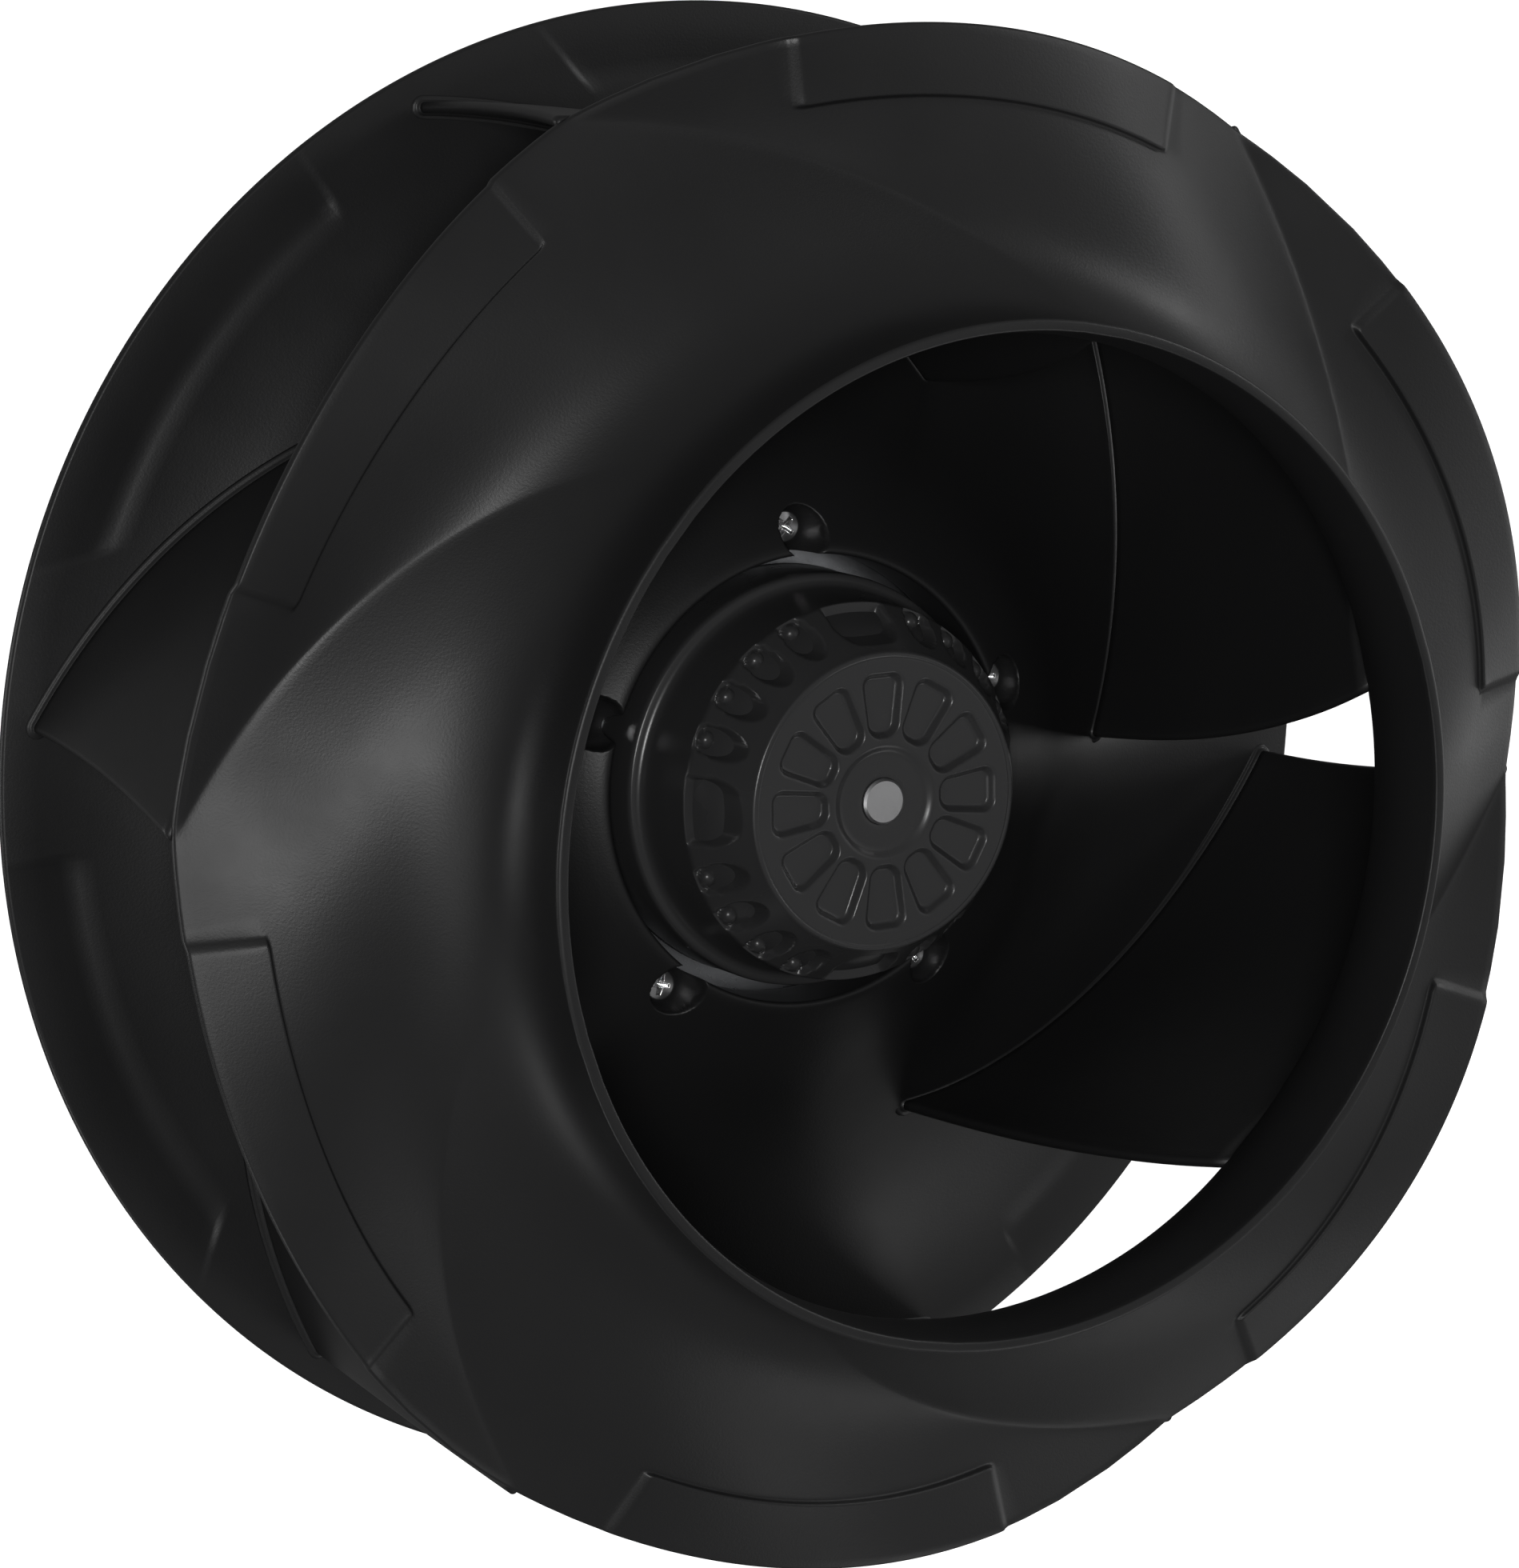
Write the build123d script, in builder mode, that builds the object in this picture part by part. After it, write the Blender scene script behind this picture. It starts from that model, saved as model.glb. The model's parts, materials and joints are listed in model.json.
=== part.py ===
from build123d import *
import os
from math import cos, degrees, hypot, log, pi, radians, sin, tan

# Backward-curved centrifugal impeller on an external rotor motor.
# Frame: +Z is the fan axis toward the inlet, z = 0 is the rear mounting face of the motor.
# All lengths are in millimetres, all angles in degrees.

# ---- driving dimensions -------------------------------------------------------------
RIM_R = 200.0              # outer radius of back disc and shroud
REAR_Z = 8.0               # front surface of the back disc at its rim
PANEL_R = 179.0            # flat rim panels of the back disc, between the blades
PANEL_ANG = 23.4
PANEL_ARC = 36.0
PANEL_STEP = 2.0
BAND_R = 181.0             # raised rim bands of the shroud, above the panels
BAND_ANG = 23.8
BAND_ARC = 35.4
BAND_H = 1.6
BLADES = 6
PITCH = 360 / BLADES
WALL = 3.0                 # moulded wall of disc, shroud and blades
SPIRAL = 27.7              # blade angle against the circumference
RIM_BLADE_ANG = 16.9       # a blade line meets the rim here

SCREWS = 5
SCREW_PITCH_R = 65.5
SCREW_ANG = 37.6
CUP_R = 6.9                # screw cup in the hub, inside
CUP_WALL = 1.3
HUB_OPENING_R = 59.5
HUB_FLOOR_Z = 57.5         # the disc sits on the mounting ring here
HUB_CREST_Z = 73.5

ROTOR_R = 55.0
ROTOR_WALL = 4.0
ROTOR_FACE_Z = 114.0
ROTOR_FACE_R = 39.0
ROTOR_EDGE_Z = 106.0       # front edge of the cylindrical skirt
ROTOR_REAR_Z = 42.0
RING_T = 2.5               # mounting ring
RING_R = 73.5
COLLAR_H = 4.0             # drawn thread collars under the ring
SCREW_R = 2.5              # M5 pan head screws
SCREW_L = 10.5
HEAD_R = 4.75
HEAD_H = 3.2
WINDOW_R = 25.0            # recessed windows round the rotor face
WINDOW_ANG = 20.3
WINDOW_DEPTH = 2.2
WINDOW_W = 13.0            # at the outer end
WINDOW_L = 17.0
# scooped pockets round the shoulder, floors from (radius, height) to (radius, height)
POCKET_W = 6.4
POCKET_FLOOR = [(41.5, 110.9), (ROTOR_R, 103.6)]
POCKET_OUT = (-37.5, -22.5, 22.5, 37.5)
POCKET_REACH = 24.0
BALANCE_HOLE_R = 2.75
BALANCE_HOLE_AT = (51.2, 102.0)
WIDE_POCKET_W = 20.0
WIDE_POCKET_FLOOR = [(43.5, 109.6), (ROTOR_R, 103.0)]
WIDE_POCKET_REACH = 18.0

SHAFT_R = 6.0
BEARING_R = 16.0           # 6201 size: 12 x 32 x 10
BEARING_W = 10.0
BEARING_IN_R = 8.4         # outside of the inner rings
BEARING_OUT_R = 13.6       # inside of the outer rings
SHIELD_T = 0.5             # pressed shields that close the ball space
SHIELD_GAP = 0.3
REAR_BEARING_Z = 24.0
FRONT_BEARING_Z = 92.0
TUBE_R = 19.5              # bearing tube outside

CORE_R = 43.9
MAGNET_R = 44.7
YOKE_R = 47.6
YOKE_Z = (50.0, 98.0)
MAGNETS = 10
SLOTS = 12
CORE_Z = (60.0, 90.0)

CORE_BACK_R = 25.0
TOOTH_W = 5.0
TIP_W = 18.0
TIP_T = 2.5
INSULATOR_T = 1.5
COIL_T = 3.6

FLANGE_R = 62.0
POT_R = 43.0               # electronics space inside the flange housing
FLANGE_FLOOR_Z = 30.0
FLANGE_TOP_Z = 36.0
FINS = 28
FIN_H = 7.0
FIN_T = 2.2
FIN_Z = (4.0, 28.0)
LABYRINTH_R = 47.0
COVER_R = 50.5
LEDGE_Z = 6.0
COVER_Z = 1.5
COVER_T = 3.0
COVER_SCREW_R = 46.8
BOARD_Z = 11.0
BOARD_T = 1.6
POST_R = 33.0
GLAND_Z = 16.0
GLAND_R = 6.0
GLAND_ANG = -90.0
BOSS_H = 2.0
SPRING_T = 1.0
MOUNT_R = 55.0             # bolt circle radius of the mounting holes
MOUNT_HOLE_R = 2.5         # tapping bore for M6
MOUNT_DEPTH = 14.0

GLAND_AXIS = Plane((0, 0, GLAND_Z), x_dir=(1, 0, 0), z_dir=(0, -1, 0))

os.makedirs("parts", exist_ok=True)


# ---- meridional curves shared by disc, shroud and blades ----------------------------
# hub crest, steepening slope, then the dish and its flat rim
DISC_TOP = [(66, 73.2), (80, 63.5), (96, 49.5), (133, 23.5), (174, 10), (RIM_R, REAR_Z)]

# radius, height and arch height of the shroud's outer surface, from the inlet lip out
SHROUD = [
    (130.2, 179.0, 0.0),
    (128.9, 170.0, 0.0),
    (128.6, 161.0, 0.0),
    (130.6, 152.5, 0.5),
    (136.0, 143.5, 2.2),
    (144.0, 135.2, 4.4),
    (156.0, 126.8, 7.4),
    (172.0, 119.0, 10.2),
    (187.0, 114.5, 11.3),
    (RIM_R, 112.5, 11.6),
]
THROAT_R = 128.6
RINGS = 10                 # lofted rings from lip to rim
ARCH_POINTS = 6
BAND_SECTIONS = 5
BLADE_INNER_R = 104.0
BLADE_OUTER_R = 203.0
LEADING = [(115.5, 34.0), (120.5, 57), (123.5, 84), (126.0, 112), (128.5, 136), (131.0, 153)]
TRAILING = [(190.8, 8.0), (199.4, 118.0)]


def spiral_angle(r):
    """Angle of the blade line at radius r."""
    return RIM_BLADE_ANG - degrees(log(RIM_R / r) / tan(radians(SPIRAL)))


def polar(r, ang, z=None):
    x, y = r * cos(radians(ang)), r * sin(radians(ang))
    return (x, y) if z is None else (x, y, z)


def disc_line(points):
    """Straight hub slope, dish as one arc, then a straight rim."""
    Polyline(*points[0:3])
    ThreePointArc(*points[2:5])
    Line(points[4], points[5])


def normals(points):
    """Unit normals of a meridional line, turned toward +Z or outward."""
    found = []
    for i in range(len(points)):
        a, b = points[max(i - 1, 0)], points[min(i + 1, len(points) - 1)]
        dr, dz = b[0] - a[0], b[1] - a[1]
        length = hypot(dr, dz)
        found.append((-dz / length, dr / length))
    return found


def shifted(points, depth):
    """The meridional line moved inward by depth, its ends kept on their own edge."""
    moved = [(r - depth * n[0], z - depth * n[1]) for (r, z), n in zip(points, normals(points))]
    moved[-1] = (points[-1][0], points[-1][1] - depth)
    return moved


# ---- back disc ----------------------------------------------------------------------
DISC_UNDER = shifted(DISC_TOP, WALL)
COLLAR_R = HUB_OPENING_R + WALL

with BuildPart() as back_disc:
    with BuildSketch(Plane.XZ):
        with BuildLine():
            disc_line(DISC_TOP)
            disc_line(DISC_UNDER)
            Line(DISC_TOP[-1], DISC_UNDER[-1])
            Polyline(
                DISC_TOP[0],
                (HUB_OPENING_R + 2.5, HUB_CREST_Z),
                (HUB_OPENING_R, HUB_CREST_Z - 2),
                (HUB_OPENING_R, HUB_FLOOR_Z),
                (COLLAR_R, HUB_FLOOR_Z),
                (COLLAR_R, HUB_CREST_Z - 2 * WALL),
                DISC_UNDER[0],
            )
        make_face()
    revolve(axis=Axis.Z)
    # flat panels stamped into the rim between the blade tips
    for k in range(BLADES):
        with BuildSketch(Plane.XZ.rotated((0, 0, PANEL_ANG + k * PITCH))):
            with Locations(((PANEL_R + RIM_R) / 2, REAR_Z + PANEL_STEP / 2)):
                Rectangle(RIM_R - PANEL_R, PANEL_STEP)
        revolve(axis=Axis.Z, revolution_arc=-PANEL_ARC, mode=Mode.SUBTRACT)
        with BuildSketch(Plane.XZ.rotated((0, 0, PANEL_ANG + k * PITCH))):
            with Locations(((PANEL_R + RIM_R) / 2, REAR_Z - WALL / 2)):
                Rectangle(RIM_R - PANEL_R, WALL)
        revolve(axis=Axis.Z, revolution_arc=-PANEL_ARC)
    # cups for the screws: tubes trimmed by the sloping hub wall
    with BuildPart(mode=Mode.PRIVATE) as cups:
        with BuildSketch(Plane.XY.offset(HUB_FLOOR_Z)):
            with PolarLocations(SCREW_PITCH_R, SCREWS, start_angle=SCREW_ANG):
                Circle(CUP_R + CUP_WALL)
        extrude(amount=HUB_CREST_Z - HUB_FLOOR_Z)
        with BuildSketch(Plane.XZ):
            with BuildLine():
                disc_line(DISC_TOP)
                Polyline(DISC_TOP[0], (50, DISC_TOP[0][1]), (50, 0), (RIM_R, 0), DISC_TOP[-1])
            make_face()
        revolve(axis=Axis.Z, mode=Mode.INTERSECT)
    add(cups.part)
    with BuildSketch(Plane.XY.offset(HUB_FLOOR_Z + WALL)):
        with PolarLocations(SCREW_PITCH_R, SCREWS, start_angle=SCREW_ANG):
            Circle(CUP_R)
    extrude(amount=30, mode=Mode.SUBTRACT)
    with BuildSketch(Plane.XY.offset(HUB_FLOOR_Z)):
        with PolarLocations(SCREW_PITCH_R, SCREWS, start_angle=SCREW_ANG):
            Circle(2.7)
    extrude(amount=WALL, mode=Mode.SUBTRACT)
back_disc.part.label = "back_disc"
export_step(back_disc.part, "parts/back_disc.step")


# ---- shroud and blades, one moulding --------------------------------------------------
def shroud_ring(position, depth):
    """Closed wire of six arches round the shroud, depth below its outer surface.

    The arches spring from the blade lines, so each ring is turned to the spiral."""
    r, z, rise = shroud_line @ position
    slope = shroud_line % position
    length = hypot(slope.X, slope.Y)
    r_low, z_low = r - depth * abs(slope.Y) / length, z - depth * slope.X / length
    if position == 0:
        r_low, z_low = r - depth, z
    if position == 1:
        r_low, z_low = r, z - depth
    start = spiral_angle(max(r, THROAT_R)) if z < SHROUD[2][1] else spiral_angle(THROAT_R)
    with BuildLine() as ring:
        for k in range(BLADES):
            arch = [
                polar(r_low, start + (k + i / ARCH_POINTS) * PITCH, z_low + rise * sin(pi * i / ARCH_POINTS))
                for i in range(ARCH_POINTS + 1)
            ]
            Spline(*arch)
    return ring.wire()


shroud_line = Spline(*SHROUD)
outside = [shroud_ring(i / RINGS, 0) for i in range(RINGS + 1)]
inside = [shroud_ring(i / RINGS, WALL) for i in range(RINGS + 1)]
skins = (
    Shell.make_loft(outside, ruled=True).faces()
    + Shell.make_loft(inside, ruled=True).faces()
    + Shell.make_loft([outside[0], inside[0]], ruled=True).faces()
    + Shell.make_loft([outside[-1], inside[-1]], ruled=True).faces()
)
shroud_shell = Solid(Shell(skins))

VALLEY_MID = shifted([(r, z) for r, z, _ in SHROUD[2:]], WALL / 2)

def blade_side(share, side):
    """Point on one side of the blade, half a wall away from its camber spiral."""
    r = BLADE_INNER_R + (BLADE_OUTER_R - BLADE_INNER_R) * share
    ang = spiral_angle(r)
    x, y = polar(r, ang)
    # the spiral climbs at a constant angle to the circumference
    dx, dy = polar(side * WALL / 2, ang + 180 - SPIRAL)
    return x + dx, y + dy


with BuildSketch() as camber_plan:
    with BuildLine():
        for side in (1, -1):
            points = [blade_side(i / 4, side) for i in range(5)]
            ThreePointArc(*points[0:3])
            ThreePointArc(*points[2:5])
        Line(blade_side(0, 1), blade_side(0, -1))
        Line(blade_side(1, 1), blade_side(1, -1))
    make_face()

with BuildPart() as blades:
    # camber slabs standing on the fan axis
    with BuildSketch():
        with PolarLocations(0, BLADES):
            add(camber_plan.sketch)
    extrude(amount=170)
    # meridional outline: disc below, shroud above
    with BuildSketch(Plane.XZ):
        with BuildLine():
            disc_line(DISC_TOP)
            roof = Spline(*VALLEY_MID)
            Line(DISC_TOP[-1], roof @ 1)
            Polyline(DISC_TOP[0], (DISC_TOP[0][0], 160), roof @ 0)
        make_face()
    revolve(axis=Axis.Z, mode=Mode.INTERSECT)
    # leading and trailing edges
    with BuildSketch(Plane.XZ):
        with BuildLine():
            lead = Spline(*LEADING)
            Polyline(lead @ 1, (131, 200), (210, 200), TRAILING[1], TRAILING[0])
            Polyline(TRAILING[0], (TRAILING[0][0], -1), (LEADING[0][0], -1), lead @ 0)
        make_face()
    revolve(axis=Axis.Z, mode=Mode.INTERSECT)

# raised bands between the blade lines: sections in radial planes, lofted round the rim
def surface_z(r, ang):
    """Height of the shroud's outer surface near the rim."""
    near = min(max((r - SHROUD[7][0]) / (RIM_R - SHROUD[7][0]), 0), 1)
    base = SHROUD[7][1] + near * (SHROUD[9][1] - SHROUD[7][1])
    rise = SHROUD[7][2] + near * (SHROUD[9][2] - SHROUD[7][2])
    return base + rise * abs(sin(pi * (ang - spiral_angle(r)) / PITCH))


with BuildPart() as rim_band:
    for i in range(BAND_SECTIONS):
        ang = BAND_ANG + BAND_ARC * i / (BAND_SECTIONS - 1)
        low, high = surface_z(BAND_R, ang), surface_z(RIM_R, ang)
        with BuildSketch(Plane.XZ.rotated((0, 0, ang))):
            Polygon(
                (BAND_R, low + BAND_H),
                (RIM_R, high + BAND_H),
                (RIM_R, high - WALL / 2),
                (BAND_R, low - WALL / 2),
                align=None,
            )
    loft()

with BuildPart() as shroud_and_blades:
    add(shroud_shell)
    add(blades.part)
    with PolarLocations(0, BLADES):
        add(rim_band.part)
shroud_and_blades.part.label = "shroud_and_blades"
export_step(shroud_and_blades.part, "parts/shroud_and_blades.step")


# ---- mounting ring and impeller screws ------------------------------------------------
RING_Z = HUB_FLOOR_Z - RING_T

with BuildPart() as mounting_ring:
    with BuildSketch(Plane.XY.offset(RING_Z)):
        Circle(RING_R)
        Circle(ROTOR_R, mode=Mode.SUBTRACT)
        with PolarLocations(SCREW_PITCH_R, SCREWS, start_angle=SCREW_ANG):
            Circle(SCREW_R, mode=Mode.SUBTRACT)
    extrude(amount=RING_T)
    # drawn collars that hold the screw threads
    with BuildSketch(Plane.XY.offset(RING_Z - COLLAR_H)):
        with PolarLocations(SCREW_PITCH_R, SCREWS, start_angle=SCREW_ANG):
            Circle(SCREW_R + 1.5)
            Circle(SCREW_R, mode=Mode.SUBTRACT)
    extrude(amount=COLLAR_H)
mounting_ring.part.label = "mounting_ring"
export_step(mounting_ring.part, "parts/mounting_ring.step")

with BuildPart() as impeller_screws:
    for k in range(SCREWS):
        x, y = polar(SCREW_PITCH_R, SCREW_ANG + k * 360 / SCREWS)
        seat = Plane((x, y, HUB_FLOOR_Z + WALL), x_dir=(x, y, 0), z_dir=(0, 0, 1))
        with BuildSketch(seat):
            Circle(HEAD_R)
        extrude(amount=HEAD_H)
        with BuildSketch(seat):
            Circle(SCREW_R)
        extrude(amount=-SCREW_L)
        # cross recess
        with BuildSketch(seat.offset(HEAD_H - 1.6)):
            Rectangle(5.2, 1.2)
            Rectangle(1.2, 5.2)
        extrude(amount=1.6, mode=Mode.SUBTRACT)
impeller_screws.part.label = "impeller_screws"
export_step(impeller_screws.part, "parts/impeller_screws.step")


# ---- rotor ------------------------------------------------------------------------------
BORE_R = ROTOR_R - ROTOR_WALL
STEP_Z = RING_Z - 3.5

def ramp(tail, end, ang):
    """Plane along a pocket's floor, x running outward from its tail, points as (radius, height)."""
    dr, dz = end[0] - tail[0], end[1] - tail[1]
    return Plane(origin=polar(tail[0], ang, tail[1]), x_dir=polar(dr, ang, dz), z_dir=polar(-dz, ang, dr))


with BuildPart() as rotor_housing:
    with BuildSketch(Plane.XZ):
        with BuildLine():
            Polyline(
                (SHAFT_R, ROTOR_FACE_Z - 1.0),
                (12.9, ROTOR_FACE_Z - 1.0),
                (14.7, ROTOR_FACE_Z),
                (ROTOR_FACE_R - 1.5, ROTOR_FACE_Z),
                (ROTOR_FACE_R, ROTOR_FACE_Z - 1.2),
                (ROTOR_R - 1.2, ROTOR_EDGE_Z + 0.6),
                (ROTOR_R, ROTOR_EDGE_Z - 0.6),
                (ROTOR_R, 82),
                (ROTOR_R + 1.6, 80),
                (ROTOR_R + 1.6, 76),
                (ROTOR_R, 74.5),
                (ROTOR_R, RING_Z),
                (ROTOR_R + 3, RING_Z),
                (ROTOR_R + 3, STEP_Z),
                (ROTOR_R, STEP_Z),
                (ROTOR_R, ROTOR_REAR_Z),
                (BORE_R, ROTOR_REAR_Z),
                (BORE_R, YOKE_Z[1] + 0.5),
                (ROTOR_FACE_R - 2, 108),
                (15.5, 108),
                (13.5, 103.5),
                (BEARING_IN_R, FRONT_BEARING_Z + BEARING_W),
                (SHAFT_R, FRONT_BEARING_Z + BEARING_W),
                close=True,
            )
        make_face()
    revolve(axis=Axis.Z)
    # twelve recessed windows in the face, rounded trapezoids
    with BuildSketch(Plane.XY.offset(ROTOR_FACE_Z)) as windows:
        with PolarLocations(WINDOW_R, 12, start_angle=WINDOW_ANG):
            Trapezoid(WINDOW_W, WINDOW_L, 82.5, rotation=90)
        fillet(windows.vertices(), 2.6)
    extrude(amount=-WINDOW_DEPTH, mode=Mode.SUBTRACT)
    # scooped pockets in the shoulder, floors falling outward
    for k in range(4):
        for offset_ang in POCKET_OUT:
            ang = WINDOW_ANG + 90 * k + offset_ang
            with BuildSketch(ramp(*POCKET_FLOOR, ang)):
                with Locations((POCKET_REACH / 2, 0)):
                    SlotOverall(POCKET_REACH, POCKET_W)
            extrude(amount=12, mode=Mode.SUBTRACT)
            with BuildSketch(Plane(origin=polar(BALANCE_HOLE_AT[0], ang, BALANCE_HOLE_AT[1]))):
                Circle(BALANCE_HOLE_R)
            extrude(amount=6, mode=Mode.SUBTRACT)
        # wide pocket between the groups
        with BuildSketch(ramp(*WIDE_POCKET_FLOOR, WINDOW_ANG + 90 * k)):
            with Locations((WIDE_POCKET_REACH / 2, 0)):
                Rectangle(WIDE_POCKET_REACH, WIDE_POCKET_W)
        extrude(amount=12, taper=-12, mode=Mode.SUBTRACT)
rotor_housing.part.label = "rotor_housing"
export_step(rotor_housing.part, "parts/rotor_housing.step")

with BuildPart() as rotor_yoke:
    with BuildSketch(Plane.XY.offset(YOKE_Z[0])):
        Circle(BORE_R)
        Circle(YOKE_R, mode=Mode.SUBTRACT)
    extrude(amount=YOKE_Z[1] - YOKE_Z[0])
rotor_yoke.part.label = "rotor_yoke"
export_step(rotor_yoke.part, "parts/rotor_yoke.step")

with BuildPart() as rotor_magnets:
    with BuildSketch(Plane.XY.offset(YOKE_Z[0] + 2)):
        Circle(YOKE_R)
        Circle(MAGNET_R, mode=Mode.SUBTRACT)
        with PolarLocations((YOKE_R + MAGNET_R) / 2, MAGNETS):
            Rectangle(6, 1.2, mode=Mode.SUBTRACT)
    extrude(amount=YOKE_Z[1] - YOKE_Z[0] - 4)
rotor_magnets.part.label = "rotor_magnets"
export_step(rotor_magnets.part, "parts/rotor_magnets.step")

SHAFT_REAR_Z = REAR_BEARING_Z - 4
CLIP_T = 1.0

with BuildPart() as shaft:
    with BuildSketch(Plane.XZ):
        with BuildLine():
            groove_r = SHAFT_R - 0.8
            clip_z = REAR_BEARING_Z - CLIP_T
            Polyline(
                (0, SHAFT_REAR_Z),
                (SHAFT_R - 0.5, SHAFT_REAR_Z),
                (SHAFT_R, SHAFT_REAR_Z + 0.5),
                (SHAFT_R, clip_z),
                (groove_r, clip_z),
                (groove_r, REAR_BEARING_Z),
                (SHAFT_R, REAR_BEARING_Z),
                (SHAFT_R, ROTOR_FACE_Z - 0.6),
                (SHAFT_R - 0.6, ROTOR_FACE_Z),
                (0, ROTOR_FACE_Z),
                close=True,
            )
        make_face()
    revolve(axis=Axis.Z)
shaft.part.label = "shaft"
export_step(shaft.part, "parts/shaft.step")

with BuildPart() as shaft_circlip:
    with BuildSketch(Plane.XY.offset(clip_z)):
        Circle(SHAFT_R + 1.6)
        Circle(groove_r, mode=Mode.SUBTRACT)
        with Locations((0, -SHAFT_R)):
            Rectangle(6, 8, mode=Mode.SUBTRACT)
        with Locations((3.9, -SHAFT_R + 0.4), (-3.9, -SHAFT_R + 0.4)):
            Circle(1.6)
            Circle(0.6, mode=Mode.SUBTRACT)
        Circle(groove_r, mode=Mode.SUBTRACT)
    extrude(amount=CLIP_T)
shaft_circlip.part.label = "shaft_circlip"
export_step(shaft_circlip.part, "parts/shaft_circlip.step")


# ---- shielded ball bearings ---------------------------------------------------------------
for place, z in (("front", FRONT_BEARING_Z), ("rear", REAR_BEARING_Z)):
    with BuildPart() as inner_ring:
        with BuildSketch(Plane.XY.offset(z)):
            Circle(BEARING_IN_R)
            Circle(SHAFT_R, mode=Mode.SUBTRACT)
        extrude(amount=BEARING_W)
    inner_ring.part.label = place + "_bearing_inner_ring"
    export_step(inner_ring.part, "parts/" + place + "_bearing_inner_ring.step")

    with BuildPart() as outer_ring:
        with BuildSketch(Plane.XY.offset(z)):
            Circle(BEARING_R)
            Circle(BEARING_IN_R + SHIELD_GAP, mode=Mode.SUBTRACT)
        extrude(amount=BEARING_W)
        # the ball space between the two shields
        with BuildSketch(Plane.XY.offset(z + SHIELD_T)):
            Circle(BEARING_OUT_R)
        extrude(amount=BEARING_W - 2 * SHIELD_T, mode=Mode.SUBTRACT)
    outer_ring.part.label = place + "_bearing_outer_ring"
    export_step(outer_ring.part, "parts/" + place + "_bearing_outer_ring.step")


# ---- stator: laminated core, insulators and coils ---------------------------------------
def core_plan(bore, tooth_w, tip_w, back_r, out_r):
    """Star of teeth round a hub, each tooth with a wider tip."""
    with BuildSketch() as plan:
        Circle(back_r)
        with PolarLocations((back_r + out_r) / 2 - 1, SLOTS):
            Rectangle(out_r - back_r + 2, tooth_w)
        if tip_w:
            with BuildSketch(mode=Mode.PRIVATE) as tips:
                Circle(out_r)
                Circle(out_r - TIP_T, mode=Mode.SUBTRACT)
            with BuildSketch(mode=Mode.PRIVATE) as wedges:
                with PolarLocations(out_r - 2, SLOTS):
                    Rectangle(12, tip_w)
            add(tips.sketch & wedges.sketch)
        Circle(bore, mode=Mode.SUBTRACT)
    return plan.sketch


with BuildPart() as stator_core:
    with BuildSketch(Plane.XY.offset(CORE_Z[0])):
        add(core_plan(TUBE_R, TOOTH_W, TIP_W, CORE_BACK_R, CORE_R))
    extrude(amount=CORE_Z[1] - CORE_Z[0])
stator_core.part.label = "stator_core"
export_step(stator_core.part, "parts/stator_core.step")

for place, z in (("front", CORE_Z[1]), ("rear", CORE_Z[0] - INSULATOR_T)):
    with BuildPart() as insulator:
        with BuildSketch(Plane.XY.offset(z)):
            add(core_plan(TUBE_R, TOOTH_W, TIP_W, CORE_BACK_R, CORE_R - 0.6))
        extrude(amount=INSULATOR_T)
    insulator.part.label = place + "_insulator"
    export_step(insulator.part, "parts/" + place + "_insulator.step")

with BuildPart() as windings:
    low, high = CORE_Z[0] - INSULATOR_T, CORE_Z[1] + INSULATOR_T
    with BuildPart(mode=Mode.PRIVATE) as coil:
        with BuildSketch(Plane.YZ.offset(CORE_BACK_R + 1.5)):
            with Locations((0, (low + high) / 2)):
                RectangleRounded(TOOTH_W + 2 * COIL_T, high - low + 2 * COIL_T, COIL_T - 0.3)
                Rectangle(TOOTH_W, high - low, mode=Mode.SUBTRACT)
        extrude(amount=CORE_R - TIP_T - CORE_BACK_R - 3)
    with PolarLocations(0, SLOTS):
        add(coil.part)
windings.part.label = "windings"
export_step(windings.part, "parts/windings.step")


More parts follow.
